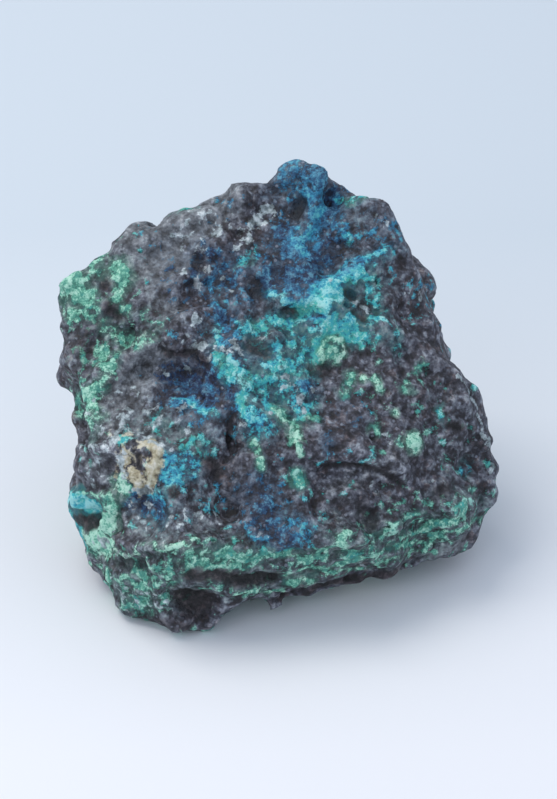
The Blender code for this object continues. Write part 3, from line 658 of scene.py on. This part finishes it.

# Soot-dark and maroon hollows, with painted shade in pits, gaps, under ledges and along the bottom, as the
# pales are given.
SOOT_AND_SHADE_STROKES = [
    ([(-4.8, -1.6), (-5.1, -2.8), (-5.2, -4.2)], 0.6, 0.85),
    ([(-6.9, -6.4), (-6.4, -7.3)], 1.1, 0.8),
    ([(-4.6, -6.2), (-4.6, -9.2), (-4.9, -12.0)], 1.3, 0.5),
    ([(-2.6, 5.5), (-1.6, 4.9)], 1.1, 0.8),
    ([(-2.6, 12.0), (-1.8, 11.1)], 1.0, 0.75),
    ([(0.5, 9.1), (1.5, 9.1)], 0.55, 0.75),
    ([(7.0, 11.1), (7.5, 10.6)], 0.6, 0.8),
    ([(8.0, 8.9), (8.6, 8.3)], 0.6, 0.8),
    ([(6.4, 18.6), (9.4, 16.6), (10.6, 19.0)], 2.4, 0.3),
    ([(3.4, 3.0), (4.9, 3.2)], 0.9, 0.75),
    ([(2.3, 20.0), (1.9, 19.0)], 0.9, 0.75),
    ([(-17.7, 11.7)], 0.8, 0.7),
    ([(-17.3, 9.4), (-16.5, 8.7)], 0.9, 0.8),
    ([(-8.3, 14.5), (-8.0, 13.3)], 0.9, 0.75),
    ([(-8.9, 11.9)], 0.7, 0.7),
    ([(-11.2, 4.8), (-8.6, 4.7), (-7.4, 3.8)], 0.7, 0.9),
    ([(-14.25, -5.7), (-14.2, -6.8)], 0.42, 1.0),
    ([(-10.7, -9.5)], 0.7, 1.0),
    ([(-20.6, -12.3), (-19.5, -12.8), (-18.5, -12.3)], 0.75, 1.3),
    ([(-16.6, -16.8), (-14.0, -17.0)], 0.9, 0.55),
    ([(-9.0, -17.8), (-6.4, -18.1), (-3.6, -18.5), (-0.8, -18.0)], 1.0, 0.9),
    ([(-9.6, -19.8), (-8.6, -20.8), (-7.8, -20.2)], 1.6, 1.0),
    ([(-14.4, -22.4), (-11.8, -23.0), (-9.4, -23.2)], 0.9, 0.7),
    ([(5.4, -6.8), (8.0, -6.7), (10.6, -7.4), (12.8, -8.7)], 0.38, 0.8),
    ([(8.6, -10.8), (9.4, -12.6)], 1.1, 0.65),
    ([(17.6, -2.6), (18.8, -2.9)], 0.6, 0.85),
    ([(16.4, -9.4), (17.4, -8.8)], 0.8, 0.75),
    ([(0.2, -20.2), (2.4, -20.3), (4.2, -19.2), (8.0, -18.5), (12.2, -17.5)], 0.6, 1.0),
    ([(-22.6, 2.6), (-22.2, 5.6)], 1.0, 0.5),
    ([(-19.4, 3.2), (-20.6, 6.4), (-18.6, 7.8)], 1.3, 0.5),
    ([(-10.8, 7.8), (-10.4, 5.6), (-13.6, 4.0)], 1.0, 0.4),
    ([(-3.0, -15.0), (0.6, -20.0)], 0.4, 0.3),
    ([(4.9, -6.8)], 0.6, 0.7),
    ([(-9.6, 10.0), (-6.6, 8.8), (-4.6, 9.6)], 1.1, 0.35),
]

# Plain grey rock, as the pales are given.
GREYS = [
    ([(0.9, 23.2), (1.3, 21.8)], 1.1, 0.9),
    ([(-13.6, 16.6), (-9.6, 18.4), (-6.0, 20.4)], 3.0, 1.0),
    ([(-12.6, 13.6), (-11.4, 14.6)], 2.6, 0.9),
    ([(-12.6, 10.4), (-10.6, 8.6)], 1.6, 0.5),
    ([(-13.0, 4.4), (-14.6, 1.6), (-16.4, -1.6), (-12.6, -3.6)], 2.2, 0.75),
    ([(-18.8, -2.6), (-19.0, -5.2), (-18.6, -8.0)], 2.2, 0.5),
    ([(-10.6, -3.0), (-8.0, -2.6)], 1.4, 0.55),
    ([(-14.4, -12.4), (-12.0, -13.6)], 1.6, 0.7),
    ([(7.4, 19.0), (10.4, 17.4), (11.4, 16.4)], 1.8, 0.3),
    ([(-12.0, -12.6), (-9.0, -12.6), (-6.4, -12.0)], 2.0, 0.3),
    ([(6.0, -9.4), (12.0, -6.0)], 1.6, 0.4),
    ([(16.0, -16.0), (18.4, -14.8)], 1.2, 0.7),
]


# What lies in patches: (name, strokes, (size, salt, low, high, strength) of its noise on the hidden sides).
PATCHES = [
    ("pale", PALES, (2.6, 73, 0.42, 0.6, 0.8)),
    ("ochre", OCHRES, (8.0, 77, 0.45, 0.65, 0.75)),
    ("gloom", SOOT_AND_SHADE_STROKES, (3.4, 79, 0.34, 0.6, 0.9)),
    ("grey", GREYS, (10.0, 83, 0.0, 0.4, 0.9)),
]


def lay(points, sight, strokes):
    """The strength of the strongest stroke at each point."""
    strongest = np.zeros(len(points))
    for path, reach, strength in strokes:
        away = reaches_off(points, sight, path, reach)
        strongest = np.maximum(strongest, strength * (1 - ramp(away, 0.3, 1.8)))
    return strongest


def press_relief(skin, sight):
    """Raises the ledges and rims of the show face and sinks its pits and grooves."""
    warped = skin.points + 0.3 * drift(skin.points, 1.4, 61)
    heights = np.zeros(skin.count)
    for _, path, reach, height in RELIEF:
        away = reaches_off(warped, sight, path, reach)
        heights += height * np.clip(1 - away * away, 0, 1) ** 1.5
    skin.raise_by(heights)


def lay_crusts(skin, sight):
    """How thick the copper minerals lie at each point, how far they stain the rock, and their hue."""
    points = skin.points + 0.65 * drift(skin.points, 1.6, 31) + 0.35 * drift(skin.points, 0.7, 35)
    ragged = 0.35 * smooth_noise(points, 1.2, 37, 2)
    round_edge = skin.points + 0.15 * drift(skin.points, 0.7, 35)
    strokes = CRUSTS + [(path, reach, STRAND_STRENGTH, shade) for path, reach, shade in STRANDS]
    sides = [(reaches_off(points, sight, path, reach) + ragged, strength, shade)
             for path, reach, strength, shade in strokes]
    sides += [(0.8 * distance_to(round_edge, sight.trace(path, BEAD_STEP)) / reach, strength, shade)
              for path, reach, strength, shade in BEADS]
    thick, stain, total, hue = np.zeros((4, skin.count))
    for away, strength, shade in sides:
        away = np.maximum(away, 0)
        thick = np.maximum(thick, strength * (1 - ramp(away, 0.3, 2.0)))
        stain = np.maximum(stain, strength * (1 - ramp(away, 0.7, 2.8)))
        share = (strength / (0.2 + away * away)) ** 2
        total += share
        hue += share * shade
    return thick - lay(points, sight, BARES), stain, hue / total


def turned_away(skin, sight):
    """How far the rock round each point faces away: -1 to the camera, 0 on the outline, 1 away."""
    facing = skin.normals @ np.array(sight.back)
    for _ in range(TURN_ROUNDS):
        facing = skin.spread(facing)
    return -facing


def wild_crusts(points):
    """Crusts of the hidden sides, from slow noise: malachite low down, with some blue."""
    low = ramp(points[:, 2], 13.0, 5.0)
    patches = smooth_noise(points, 7.0, 41, 3) + 0.25 * low
    thick = ramp(patches, 0.0, 0.45) * 0.95
    blue = ramp(smooth_noise(points, 9.0, 47, 2) - 0.3 * low, -0.1, 0.25)
    hue = 0.86 - 0.36 * blue + 0.22 * smooth_noise(points, 2.2, 53, 2)
    return thick, np.clip(hue, 0.05, 1.0)


# ---- shader sums

class Wire:
    """A number or colour in a material. Sums on it add the Math nodes that work them out."""

    def __init__(self, bench, socket):
        self.bench, self.socket = bench, socket

    def sum(self, operation, other):
        return self.bench.node("ShaderNodeMath", {"operation": operation}, (self, other))

    __add__ = __radd__ = partialmethod(sum, "ADD")
    __sub__ = partialmethod(sum, "SUBTRACT")
    __mul__ = __rmul__ = partialmethod(sum, "MULTIPLY")
    __gt__ = partialmethod(sum, "GREATER_THAN")
    most = partialmethod(sum, "MAXIMUM")
    least = partialmethod(sum, "MINIMUM")

    def __rsub__(self, other):
        return self.bench.node("ShaderNodeMath", {"operation": "SUBTRACT"}, (other, self))

    def ease(self, low, high):
        """0 at low, 1 at high, and smooth between."""
        return self.bench.node("ShaderNodeMapRange", {"interpolation_type": "SMOOTHSTEP"}, [self, low, high])


class Bench:
    """Makes the nodes of one material."""

    def __init__(self, name):
        self.material = bpy.data.materials.new(name)
        self.material.use_nodes = True
        self.tree = self.material.node_tree
        self.shader = self.tree.nodes["Principled BSDF"]

    def node(self, kind, settings=None, values=(), output=0):
        """Adds a node: its settings first, then the values or wires of its sockets, by place or name."""
        made = self.tree.nodes.new(kind)
        for name, setting in (settings or {}).items():
            if name == "stops":
                self.set_stops(made.color_ramp, setting)
            else:
                setattr(made, name, setting)
        pairs = values.items() if isinstance(values, dict) else enumerate(values)
        for place, value in pairs:
            self.feed(made.inputs[place], value)
        return Wire(self, made.outputs[output])

    def feed(self, socket, value):
        if isinstance(value, Wire):
            self.tree.links.new(value.socket, socket)
        else:
            socket.default_value = value

    def finish(self, name, value):
        """Sets or feeds a socket of the material's surface."""
        self.feed(self.shader.inputs[name], value)

    @staticmethod
    def set_stops(color_ramp, stops):
        while len(color_ramp.elements) < len(stops):
            color_ramp.elements.new(0.5)
        for element, (place, shade) in zip(color_ramp.elements, stops):
            element.position = place
            element.color = tint(shade)

    def read(self, name):
        return self.node("ShaderNodeAttribute", {"attribute_name": name}, output="Fac")

    def blend(self, share, first, second):
        """From the first colour to the second by the share."""
        return self.node("ShaderNodeMix", {"data_type": "RGBA"}, {0: share, 6: first, 7: second}, 2)

    def noise(self, place, size, detail, rough):
        values = {"Vector": place, "Scale": 1 / size, "Detail": detail, "Roughness": rough}
        return self.node("ShaderNodeTexNoise", None, values)

    def crystals(self, place, size, output):
        """Rough crystals: the distance to the nearest one's middle, or its own colour."""
        return self.node("ShaderNodeTexVoronoi", None, {"Vector": place, "Scale": 1 / size}, output)

    def shades(self, share, stops):
        return self.node("ShaderNodeValToRGB", {"stops": stops}, [share])

    def channel(self, colour, number):
        return self.node("ShaderNodeSeparateColor", None, [colour], number)


def tint(code):
    """A web colour code as linear light."""
    parts = [int(code[place:place + 2], 16) / 255 for place in (1, 3, 5)]
    return [p / 12.92 if p <= 0.04045 else ((p + 0.055) / 1.055) ** 2.4 for p in parts] + [1.0]


# ---- the ore's minerals

# Shades from dark to light, and for copper minerals from navy through turquoise and malachite to mint.
ROCK = [(0.0, "#101014"), (0.3, "#2b2b33"), (0.5, "#494b56"), (0.7, "#70747f"), (1.0, "#abb0ba")]
BROWN_ROCK = [(0.0, "#150f10"), (0.35, "#382c2e"), (0.65, "#685858"), (1.0, "#a89b98")]
GREY_ROCK = [(0.0, "#2c2e31"), (0.35, "#585d63"), (0.65, "#80868c"), (1.0, "#b8bdc1")]
COPPER = [
    (0.0, "#151d36"), (0.12, "#22375a"), (0.25, "#2d5a7c"), (0.4, "#2e83a8"), (0.55, "#40b4c0"),
    (0.66, "#48b5aa"), (0.78, "#4e9484"), (0.88, "#6ab29a"), (0.97, "#9ad3bb"), (1.0, "#bfe5d1"),
]
EARTH = [(0.0, "#51463a"), (0.3, "#9c9276"), (0.55, "#c9c1a3"), (1.0, "#f0ecdf")]
SILICA = [(0.0, "#3d464b"), (0.35, "#7b898d"), (0.65, "#b4c3c8"), (1.0, "#ecf4f6")]
SOOT_AND_SHADE_RAMP = [(0.2, "#0b0a0c"), (0.5, "#1f181b"), (0.8, "#473a3d")]
DEEP, LIT_BLUE, LIT_GREEN, GLINT = "#0d141c", "#b4f0f2", "#b4e6d0", "#a4acbc"

# What each point of the skin carries for the material.
AMOUNTS = ("crust", "stain", "hue", "pale", "ochre", "gloom", "grey", "ridge")


class Grain:
    """What the ore's minerals share: its patterns, in millimetres, and the amounts on its points."""

    def __init__(self, bench):
        metres = bench.node("ShaderNodeTexCoord", output="Object")
        place = bench.node("ShaderNodeVectorMath", {"operation": "SCALE"}, {0: metres, "Scale": 1 / MM})
        for name in AMOUNTS:
            setattr(self, name, bench.read(name))

        self.cloud = bench.noise(place, 3.0, 3.0, 0.55) - 0.5
        self.lump = bench.noise(place, 1.1, 2.0, 0.6) - 0.5
        self.grit = bench.noise(place, 0.45, 4.0, 0.65) - 0.5
        self.fleck = bench.noise(place, 0.2, 2.0, 0.6) - 0.5
        self.far = bench.crystals(place, 0.45, "Distance")
        number = bench.crystals(place, 0.45, "Color")
        self.light = bench.channel(number, 0) - 0.5
        self.kind = bench.channel(number, 1) - 0.5

        # Tone is random, and lighter on ridges and darker in small hollows by the ridge amount, as painted
        # light and shade.
        self.tone = 0.46 + self.lump * 1.4 + self.grit * 1.1 + self.light * 0.22 + self.ridge * 0.2
        self.crusted = (self.crust + self.grit * 1.3 + self.kind * 0.3 + self.fleck * 0.8).ease(0.4, 0.8)
        self.sooty_and_shaded = (self.gloom + self.lump * 0.6 + self.grit * 0.9).ease(0.3, 1.0)
        shiny = (bench.channel(number, 2) > 0.9) * self.far.ease(0.5, 0.2)
        self.glint = shiny * (1 - self.sooty_and_shaded) * (1 - self.crusted)


def bare_rock(bench, grain):
    """Slate blue rock, brown in places, and smoother grey in others."""
    rock = bench.shades(grain.tone, ROCK)
    browned = (grain.cloud + grain.kind * 0.5).ease(0.02, 0.35)
    rock = bench.blend(browned * 0.65, rock, bench.shades(grain.tone, BROWN_ROCK))
    greyed = (grain.grey + grain.lump + grain.kind * 0.3).ease(0.15, 0.75)
    return bench.blend(greyed * 0.85, rock, bench.shades(grain.tone, GREY_ROCK))


def copper_crusts(bench, grain, rock):
    """Azurite, chrysocolla and malachite, and the haze they leave on the rock round them, with painted
    highlights and painted shade between their grains.
    """
    shade = grain.hue + grain.lump * 0.3 + grain.grit * 0.6 + grain.fleck * 0.3 + grain.light * 0.12
    copper = bench.shades(shade, COPPER)
    dim = bench.blend(0.5, copper, tint(DEEP))
    hazed = bench.blend((grain.stain + grain.lump + grain.grit).ease(0.1, 1.0) * 0.55, rock, dim)
    # Painted light on the crusts: the gleam, random from grain to grain and higher on ridges and where
    # crusts lie thick, darkens low specks as painted shade and lightens high ones as painted highlight.
    gleam = (grain.crust - 0.8) * 0.2 + grain.lump + grain.grit * 1.6 + grain.fleck
    gleam = gleam + grain.ridge * 0.3 + grain.light * 0.35
    copper = bench.blend(gleam.ease(0.0, -0.4) * 0.85, copper, dim)
    lit = bench.blend(grain.hue.ease(0.66, 0.84), tint(LIT_BLUE), tint(LIT_GREEN))
    copper = bench.blend(gleam.ease(0.06, 0.5) * (0.16 + grain.hue.ease(0.42, 0.6) * 0.52), copper, lit)
    return bench.blend(grain.crusted * 0.95, hazed, copper)


def ochre_earth(bench, grain, colour):
    """Ochre in the places that are painted with it."""
    earthy = (grain.ochre + grain.lump * 0.7 + grain.grit * 1.1 + grain.kind * 0.35).ease(0.42, 0.86)
    return bench.blend(earthy * 0.9, colour, bench.shades(grain.tone, EARTH))


def pale_silica(bench, grain, colour):
    """Frosted lumps and rims of silica."""
    frosted = (grain.pale + grain.grit + grain.kind * 0.45).ease(0.5, 0.75)
    return bench.blend(frosted * 0.9, colour, bench.shades(grain.tone, SILICA))


def soot_and_painted_shade(bench, grain, colour):
    """Soot and rust in the hollows, with painted shade darkening the same hollows, pits and gaps."""
    return bench.blend(grain.sooty_and_shaded * 0.88, colour, bench.shades(grain.tone, SOOT_AND_SHADE_RAMP))


def glints(bench, grain, colour):
    """Bright crystal faces here and there on the bare rock."""
    return bench.blend(grain.glint * 0.4, colour, tint(GLINT))


def finish_ore(bench, grain):
    """The sheen and the finest unevenness of the ore."""
    rough = 0.6 + grain.grit * 0.6 + grain.crusted * 0.08 - grain.glint * 0.3
    bench.finish("Roughness", rough.most(0.25).least(0.95))
    bench.finish("Metallic", grain.glint * 0.3)
    bench.finish("Specular IOR Level", 0.45)
    height = grain.lump * 0.18 + grain.grit * 0.28 + grain.fleck * 0.08
    height = height + grain.crusted * 0.04 - grain.far * 0.06
    bump = bench.node("ShaderNodeBump", None, {"Strength": 1.0, "Distance": MM, "Height": height})
    bench.finish("Normal", bump)


def ore_material():
    """Dark copper ore, with its minerals laid one over another."""
    bench = Bench("Copper ore")
    grain = Grain(bench)
    colour = bare_rock(bench, grain)
    for mineral in (copper_crusts, ochre_earth, pale_silica, soot_and_painted_shade, glints):
        colour = mineral(bench, grain, colour)
    bench.finish("Base Color", colour)
    finish_ore(bench, grain)
    return bench.material


# ---- the stone

def crumbled(amount, points, salt):
    """The amount broken up, so that it thins out in specks and has gaps where it is thick."""
    breaks = 0.5 * smooth_noise(points, 1.4, salt, 2) + 0.6 * smooth_noise(points, 0.7, salt + 4)
    return amount + breaks * ramp(amount, 0.0, 0.15)


def lay_minerals(skin, sight, turned):
    """How much of each mineral lies at each point: strokes on the show face, noise elsewhere."""
    points = skin.points
    hidden = ramp(turned, -0.1, 0.25)
    thick, stain, hue = lay_crusts(skin, sight)
    wild_thick, wild_hue = wild_crusts(points)
    thick = np.maximum(thick * (1 - hidden), wild_thick * hidden)
    thick = np.maximum(thick, 0.3 * ramp(smooth_noise(points, 3.0, 71, 2), -0.3, 0.5))
    amounts = {
        "crust": crumbled(thick, points, 101),
        "stain": np.maximum(stain * (1 - hidden), wild_thick * hidden),
        "hue": hue * (1 - hidden) + wild_hue * hidden,
    }
    for name, strokes, (size, salt, low, high, most) in PATCHES:
        wild = most * hidden * ramp(smooth_noise(points, size, salt, 2), low, high)
        amounts[name] = np.maximum(lay(points, sight, strokes), wild)
    amounts["pale"] = crumbled(amounts["pale"], points, 111)
    amounts["ochre"] = 0.5 * amounts["ochre"] + 0.5 * crumbled(amounts["ochre"], points, 121)
    return amounts


def sink_pits(skin, start, crust):
    """Small round pits, more of them in thick crusts. Gives their depth at each point, up to 1."""
    far, number = grains(start + 0.35 * drift(start, 0.9, 88), PIT_SPACING, 91)
    pits = np.clip(1 - (far / PIT_RADIUS) ** 2, 0, 1) * (number < 0.16 + 0.3 * ramp(crust, 0.4, 0.8))
    skin.raise_by(-PIT_DEPTH * pits)
    return pits


def raise_crusts(skin, start, amounts):
    """Crusts stand a little proud of the rock, in crystal grains."""
    crusty = ramp(np.maximum(amounts["crust"], amounts["pale"]), 0.45, 0.75)
    far, number = grains(start, GRAIN, 95)
    skin.raise_by(crusty * (0.05 + 0.05 * (0.6 - far) + 0.05 * (number - 0.5)))


def break_surface(skin, sight, turned, amounts):
    """Chips, ledges, pits and crusts, one after another. Gives the pits."""
    start = skin.points.copy()
    calm = 1 - 0.5 * np.maximum(amounts["grey"], ramp(turned, -0.45, -0.05))
    for turn, (size, height) in enumerate(BREAKS):
        skin.raise_by(chips(start, size, 11 + turn * 5) * height * CHIP_LIFT * calm)
    press_relief(skin, sight)
    skin.raise_by(RIPPLE_HEIGHT * smooth_noise(start, RIPPLE_SIZE, 131, 2) * calm)
    pits = sink_pits(skin, start, amounts["crust"])
    raise_crusts(skin, start, amounts)
    return pits


def rest_on_floor(skin, lying):
    """Puts the worn flats back on the floor, and nothing lower."""
    skin.points[lying, 2] = 0
    skin.points[:, 2] = np.maximum(skin.points[:, 2], 0)
    skin.settle()


def dress_stone():
    """The stone as it is seen, in the place of its plain solid."""
    obj = fine_skin(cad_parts[SOLID])
    skin = Skin(obj)
    lying = skin.points[:, 2] < FLAT_HEIGHT
    skin.soften(SOFTENING)
    sight = Sight(skin)
    turned = turned_away(skin, sight)
    amounts = lay_minerals(skin, sight, turned)
    pits = break_surface(skin, sight, turned, amounts)
    rest_on_floor(skin, lying)

    # How far each point stands out; the material paints ridges lighter and small hollows darker by it.
    amounts["ridge"] = np.clip(skin.bulge(3) / 0.12, -1, 1)
    # Painted shade: the colour is darkened in hollows of the skin and in the pits.
    hollow = np.clip(-skin.bulge(14) / 0.55, 0, 1)
    painted_hollow_shade = np.maximum(0.7 * ramp(hollow, 0.35, 1.0), 0.7 * pits)
    amounts["gloom"] = np.maximum(amounts["gloom"], painted_hollow_shade)
    for name in AMOUNTS:
        skin.paint(name, amounts[name])
    obj.data.materials.clear()
    obj.data.materials.append(ore_material())
    obj.data.shade_smooth()
    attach(obj, "root")
    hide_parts(SOLID)


# ---- floor, light and camera

def floor_material():
    """Matt off-white, which darkens a little towards the back, as painted fall-off of the light."""
    bench = Bench("Pale floor")
    place = bench.node("ShaderNodeTexCoord", output="Object")
    depth = bench.node("ShaderNodeSeparateXYZ", None, [place], 1)
    fall = bench.node("ShaderNodeMapRange", None, [depth, FLOOR_FRONT * MM, FLOOR_BACK * MM])
    bench.finish("Base Color", bench.blend(fall, tint("#e8eaee"), tint("#c9d3db")))
    bench.finish("Roughness", 0.75)
    return bench.material


def lay_floor():
    """A plain pale floor, big enough to have no edge in view."""
    bm = bmesh.new()
    bmesh.ops.create_circle(bm, cap_ends=True, segments=96, radius=FLOOR_RADIUS)
    floor = new_piece("pale_floor", bm)
    floor.data.materials.append(floor_material())


def hang_light(name, place_mm, size_mm, power, shade):
    """A soft square light that faces the stone."""
    light = bpy.data.lights.new(name, "AREA")
    light.size = size_mm * MM
    light.energy = power
    light.color = tint(shade)[:3]
    lamp = bpy.data.objects.new(name, light)
    lamp.location = Vector(place_mm) * MM
    lamp.rotation_mode = "QUATERNION"
    lamp.rotation_quaternion = (lamp.location - Vector(LIGHT_AIM) * MM).to_track_quat("Z", "Y")
    bpy.context.scene.collection.objects.link(lamp)


def light_scene():
    """A bright room, with one large light above the stone and a weak one in front."""
    world = bpy.data.worlds.new("Bright room")
    world.use_nodes = True
    glow = world.node_tree.nodes["Background"]
    glow.inputs["Color"].default_value = tint("#dde6f6")
    glow.inputs["Strength"].default_value = 0.9
    bpy.context.scene.world = world
    hang_light("overhead_softbox", (-190, 80, 400), 260, 0.95, "#fff8ee")
    hang_light("front_fill", (-260, -330, 300), 300, 0.3, "#f4f7ff")
    bpy.context.scene.view_settings.view_transform = "Standard"


def place_camera():
    """Looks down at the show face from the front."""
    camera = bpy.data.objects.new("camera", bpy.data.cameras.new("camera"))
    bpy.context.scene.collection.objects.link(camera)
    _, _, back = view_axes()
    camera.location = (Vector(VIEW_AIM) + back * VIEW_DISTANCE) * MM
    camera.rotation_mode = "QUATERNION"
    camera.rotation_quaternion = (-back).to_track_quat("-Z", "Y")
    camera.data.sensor_width = FILM
    camera.data.lens = FILM * VIEW_DISTANCE / VIEW_TALL
    camera.data.clip_start = 0.01
    bpy.context.scene.camera = camera


dress_stone()
lay_floor()
light_scene()
place_camera()
